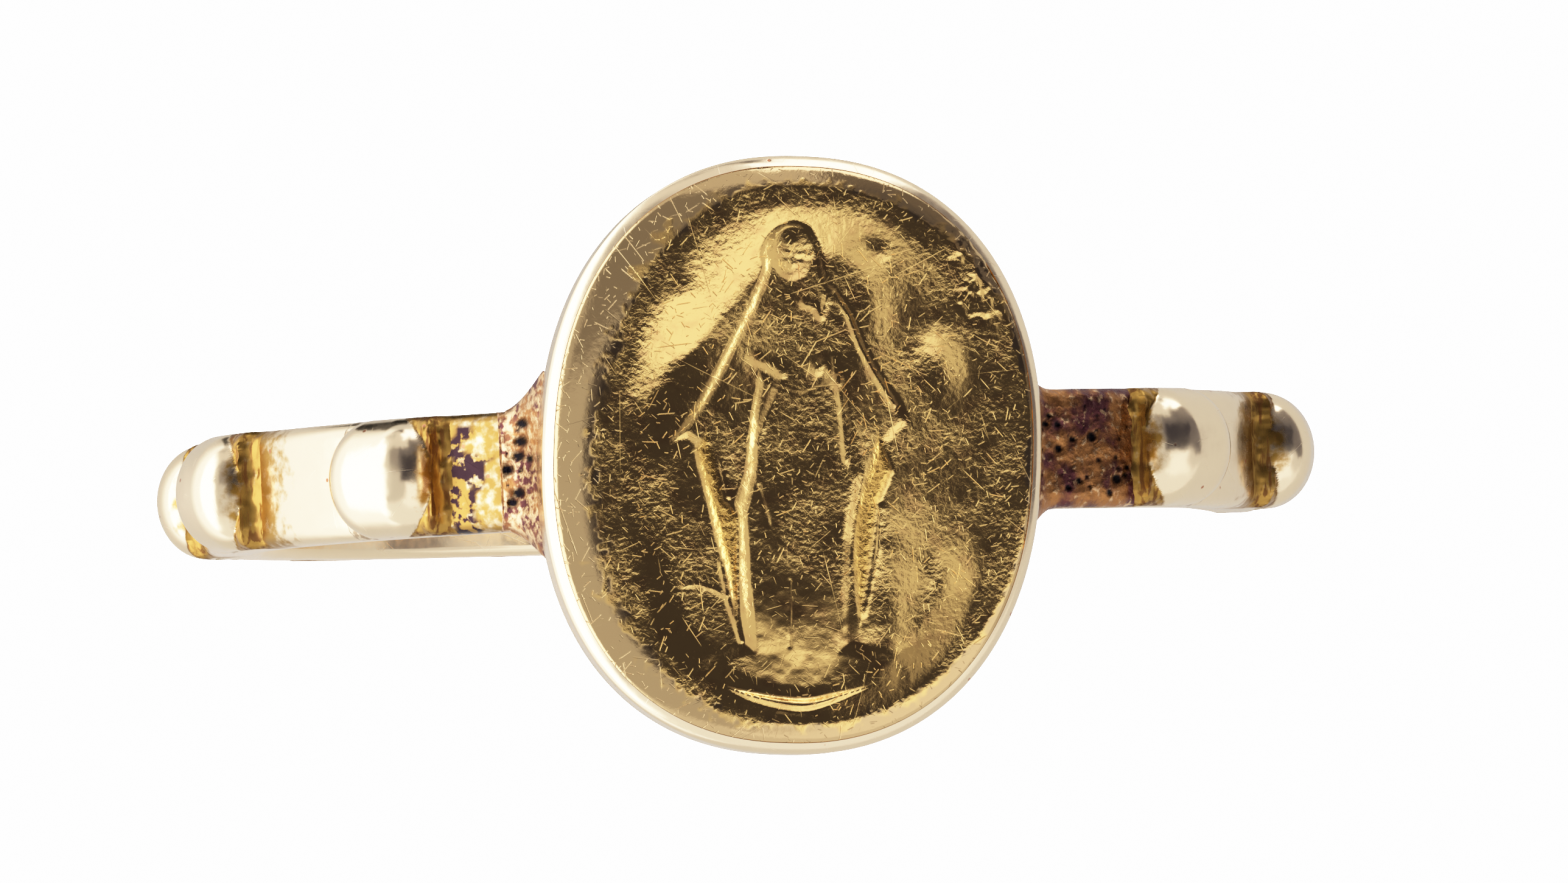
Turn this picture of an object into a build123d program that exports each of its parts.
"""Decade ring with a signet-style oval bezel, as bench-made pieces.

A flat band carries ten domed knobs round its outside. An oval collet is soldered on a filed seat
at the top of the band and holds a struck medal of a standing robed figure on a crescent.

Frame: the origin is the centre of the finger hole, +Y runs along the finger towards the figure's
head, +Z points out through the middle of the bezel, and +X is to the right of the figure seen
from outside. Millimetres and degrees.
"""

from build123d import *
import math
import os

# Band.
FINGER_DIAMETER = 18.2
BAND_THICKNESS = 1.05
BAND_WIDTH = 2.2
OUTER_CORNER = 0.34
INNER_CORNER = 0.2

# Decade of knobs.
BEAD_COUNT = 10
BEAD_PITCH = 29.8
DECADE_SHIFT = 2.0
BEAD_HEIGHT = 0.95
BEAD_LENGTH = 2.24
BEAD_END_ROUND = 0.8

# Bezel: a collet with a floor and a thin wall, turned a little on the band.
BEZEL_WIDTH = 9.16
BEZEL_LENGTH = 10.92
OVAL_POWER = 2.26
OVAL_POINTS = 32
BEZEL_TURN = -4.3
SEAT_DEPTH = 0.3
FACE_HEIGHT = 1.75
FLOOR_THICKNESS = 0.45
WALL_THICKNESS = 0.2
WALL_TOP_ROUND = 0.16
FLOOR_ROUND = 0.3

# Medal: a struck disc with a raised border, a sunken field and a raised figure.
MEDAL_CLEARANCE = 0.015
MEDAL_EDGE_ROUND = 0.15
FIELD_WIDTH = 7.0
FIELD_LENGTH = 9.3
FIELD_DEPTH = 0.22
FIELD_SLOPE = 0.35

# Figure: heights of its layers above the field, and the main stations up its middle line.
CLOAK_RELIEF = 0.11
ROBE_RELIEF = 0.16
HEAD_RELIEF = 0.19
MOUND_RELIEF = 0.13
FIGURE_X = 0.05
HEAD_Y = 3.62
SHOULDER_Y = 3.1
WAIST_Y = 1.7
HAND_Y = 0.3
HEM_Y = -3.5
MOUND_Y = -3.9
MOON_Y = -4.12

# Solder fillets that carry the overhanging bezel, each ending in a thin film on the band.
SOLDER_NECK = 5.05
FILM_END_LEFT = 5.3
FILM_END_RIGHT = 6.35
SOLDER_FILM = 0.08
SOLDER_TUCK = 0.25
SOLDER_WIDTH = 3.7
SOLDER_HOLLOW = 0.12
SOLDER_DEPTH = 1.12
FLARE_WAIST_OUT = 0.2
FLARE_WAIST_DROP = 0.3

finger_radius = FINGER_DIAMETER / 2
band_radius = finger_radius + BAND_THICKNESS
seat_z = band_radius - SEAT_DEPTH
floor_z = seat_z + FLOOR_THICKNESS
medal_thickness = FACE_HEIGHT - FLOOR_THICKNESS
collet_height = FACE_HEIGHT - MEDAL_EDGE_ROUND
seat_half_length = math.sqrt(band_radius**2 - seat_z**2)


def oval(width, length, inset=0.0):
    """A filled superellipse of the bezel's family, in the XY plane."""
    half_x = width / 2 - inset
    half_y = length / 2 - inset
    points = []
    for i in range(OVAL_POINTS):
        angle = 2 * math.pi * i / OVAL_POINTS
        c, s = math.cos(angle), math.sin(angle)
        x = half_x * math.copysign(abs(c) ** (2 / OVAL_POWER), c)
        y = half_y * math.copysign(abs(s) ** (2 / OVAL_POWER), s)
        points.append((x, y))
    return make_face(Spline(*points, periodic=True))


def on_bezel(shape, z):
    """Places a shape drawn at the origin on the bezel, at height z and turned with it."""
    return Pos(0, 0, z) * Rot(0, 0, BEZEL_TURN) * shape


def make_band(extra=0.0):
    """The closed band with rounded corners, made thicker on its outside by the extra."""
    thickness = BAND_THICKNESS + extra
    section = Pos(finger_radius + thickness / 2, 0) * Rectangle(thickness, BAND_WIDTH)
    outer = section.vertices().group_by(Axis.X)[-1]
    section = fillet(outer, OUTER_CORNER)
    inner = section.vertices().group_by(Axis.X)[0]
    section = fillet(inner, INNER_CORNER)
    return revolve(section, Axis.Y, 360)


def make_shank():
    """The band with a flat seat filed across its top."""
    seat_cut = Pos(0, 0, seat_z) * Box(
        4 * seat_half_length,
        2 * BAND_WIDTH,
        2 * SEAT_DEPTH,
        align=(Align.CENTER, Align.CENTER, Align.MIN),
    )
    return make_band() - seat_cut


def bead_angle(index):
    """Clockwise angle of a knob from the bezel, seen with +X to the right and +Z up."""
    first = 180 - BEAD_PITCH * (BEAD_COUNT - 1) / 2
    return first + DECADE_SHIFT + BEAD_PITCH * index


def make_bead(index, shank):
    """One domed knob: a short barrel along the band with rounded ends, seated like a saddle."""
    barrel = Rot(0, 90, 0) * Cylinder(1, BEAD_LENGTH)
    barrel = fillet(barrel.edges().filter_by(GeomType.CIRCLE), BEAD_END_ROUND)
    barrel = scale(barrel, by=(1, BAND_WIDTH / 2, BEAD_HEIGHT))
    keep = Box(
        2 * BEAD_LENGTH,
        2 * BAND_WIDTH,
        OUTER_CORNER + BEAD_HEIGHT,
        align=(Align.CENTER, Align.CENTER, Align.MIN),
    )
    dome = barrel & (Pos(0, 0, -OUTER_CORNER) * keep)
    bead = Rot(0, bead_angle(index), 0) * Pos(0, 0, band_radius) * dome
    return largest(bead - shank)


def largest(shape):
    """The biggest solid of a cut, so that a sliver left by the cut is dropped."""
    return max(shape.solids(), key=lambda s: s.volume)


def make_collet():
    """The cup under the medal: a flat floor with an upright wall, its lip rounded outwards."""
    body = extrude(oval(BEZEL_WIDTH, BEZEL_LENGTH), collet_height)
    body = fillet(body.edges().group_by(Axis.Z)[0], FLOOR_ROUND)
    body = fillet(body.edges().group_by(Axis.Z)[-1], WALL_TOP_ROUND)
    pocket = extrude(oval(BEZEL_WIDTH, BEZEL_LENGTH, WALL_THICKNESS), FACE_HEIGHT)
    return on_bezel(body - Pos(0, 0, FLOOR_THICKNESS) * pocket, seat_z)


def cloak_outline():
    """The open cloak, from the shoulders out to both hands and down to a narrow hem."""
    half_neck = 0.55
    half_reach = 2.15
    half_hem = 1.1
    right = [
        (half_neck, SHOULDER_Y),
        (1.35, WAIST_Y),
        (half_reach, HAND_Y),
        (1.55, HAND_Y - 0.15),
        (half_hem, HEM_Y),
    ]
    left = [(-x, y) for x, y in reversed(right)]
    return make_face(Polyline(*right, *left, close=True))


def robe_outline():
    """The robe inside the cloak: narrow at the waist, wider at the hem."""
    half_waist = 0.75
    half_hem = 1.0
    return make_face(
        Polyline(
            (-0.4, SHOULDER_Y),
            (-half_waist, WAIST_Y),
            (-half_hem, HEM_Y),
            (half_hem, HEM_Y),
            (half_waist, WAIST_Y),
            (0.4, SHOULDER_Y),
            close=True,
        )
    )


def crescent_outline():
    """The thin moon under the mound, horns up."""
    tip_x = 1.45
    sag = 0.32
    thickness = 0.12
    left, right = (-tip_x, MOON_Y), (tip_x, MOON_Y)
    outer = ThreePointArc(left, (0, MOON_Y - sag), right)
    inner = ThreePointArc(right, (0, MOON_Y - sag + thickness), left)
    return make_face([outer, inner])


def figure_layers():
    """Flat outlines of the figure, each with the height it stands above the field."""
    return [
        (cloak_outline(), CLOAK_RELIEF),
        (robe_outline(), ROBE_RELIEF),
        (Pos(0, HEAD_Y) * Ellipse(0.6, 0.66), HEAD_RELIEF),
        (Pos(0, MOUND_Y) * Ellipse(1.9, 0.42), MOUND_RELIEF),
        (crescent_outline(), CLOAK_RELIEF),
    ]


def make_medal():
    """The struck disc: a rounded border, a sunken field and a low raised figure."""
    inset = WALL_THICKNESS + MEDAL_CLEARANCE
    disc = extrude(oval(BEZEL_WIDTH, BEZEL_LENGTH, inset), medal_thickness)
    disc = fillet(disc.edges().group_by(Axis.Z)[-1], MEDAL_EDGE_ROUND)
    field_z = medal_thickness - FIELD_DEPTH
    mouth = Pos(0, 0, medal_thickness) * oval(FIELD_WIDTH, FIELD_LENGTH)
    bottom = Pos(0, 0, field_z) * oval(FIELD_WIDTH, FIELD_LENGTH, FIELD_SLOPE)
    struck = disc - loft([bottom, mouth])
    for outline, relief in figure_layers():
        struck += Pos(FIGURE_X, 0, field_z) * extrude(outline, relief)
    return on_bezel(struck, floor_z)


def solder_side_view():
    """The right fillet seen along the finger: from under the bezel down to its neck on the band."""
    start_x = seat_half_length - SOLDER_TUCK
    heel_x = BEZEL_WIDTH / 2 - FLOOR_ROUND
    neck_z = math.sqrt((band_radius + SOLDER_FILM) ** 2 - SOLDER_NECK**2)
    low_z = seat_z - SOLDER_DEPTH
    middle = (heel_x + SOLDER_HOLLOW, (seat_z + neck_z - SOLDER_HOLLOW) / 2)
    return make_face(
        [
            Line((start_x, seat_z), (heel_x, seat_z)),
            ThreePointArc((heel_x, seat_z), middle, (SOLDER_NECK, neck_z)),
            Line((SOLDER_NECK, neck_z), (SOLDER_NECK, low_z)),
            Line((SOLDER_NECK, low_z), (start_x, low_z)),
            Line((start_x, low_z), (start_x, seat_z)),
        ]
    )


def solder_end_view():
    """Either fillet seen along X: as wide as the band below, flaring out under the bezel."""
    half_top = SOLDER_WIDTH / 2
    half_band = BAND_WIDTH / 2
    low_z = seat_z - SOLDER_DEPTH
    waist_y = half_band + FLARE_WAIST_OUT
    waist_z = seat_z - FLARE_WAIST_DROP
    return make_face(
        [
            Line((-half_top, seat_z), (half_top, seat_z)),
            ThreePointArc((half_top, seat_z), (waist_y, waist_z), (half_band, low_z)),
            Line((half_band, low_z), (-half_band, low_z)),
            ThreePointArc((-half_band, low_z), (-waist_y, waist_z), (-half_top, seat_z)),
        ]
    )


def make_solder(side, film_end, shank):
    """The solder under one overhanging side of the bezel; side is -1 or 1."""
    along = extrude(Plane.XZ * solder_side_view(), SOLDER_WIDTH, both=True)
    across = extrude(Plane.YZ * solder_end_view(), SOLDER_NECK, both=True)
    heel_x = BEZEL_WIDTH / 2
    film_room = Pos(heel_x, 0, 0) * Box(
        film_end - heel_x,
        2 * BAND_WIDTH,
        seat_z,
        align=(Align.MIN, Align.CENTER, Align.MIN),
    )
    body = (along & across) + (make_band(SOLDER_FILM) & film_room)
    if side < 0:
        body = mirror(body, Plane.YZ)
    finger_hole = Rot(90, 0, 0) * Cylinder(finger_radius, 2 * SOLDER_WIDTH)
    return largest(body - shank - finger_hole)


def make_parts():
    """Every piece by the name of its node."""
    shank = make_shank()
    parts = {
        "shank": shank,
        "bezel_collet": make_collet(),
        "medal": make_medal(),
        "shoulder_solder_left": make_solder(-1, FILM_END_LEFT, shank),
        "shoulder_solder_right": make_solder(1, FILM_END_RIGHT, shank),
    }
    for index in range(BEAD_COUNT):
        parts[f"decade_bead_{index + 1:02d}"] = make_bead(index, shank)
    return parts


os.makedirs("parts", exist_ok=True)
for name, shape in make_parts().items():
    export_step(shape, f"parts/{name}.step")
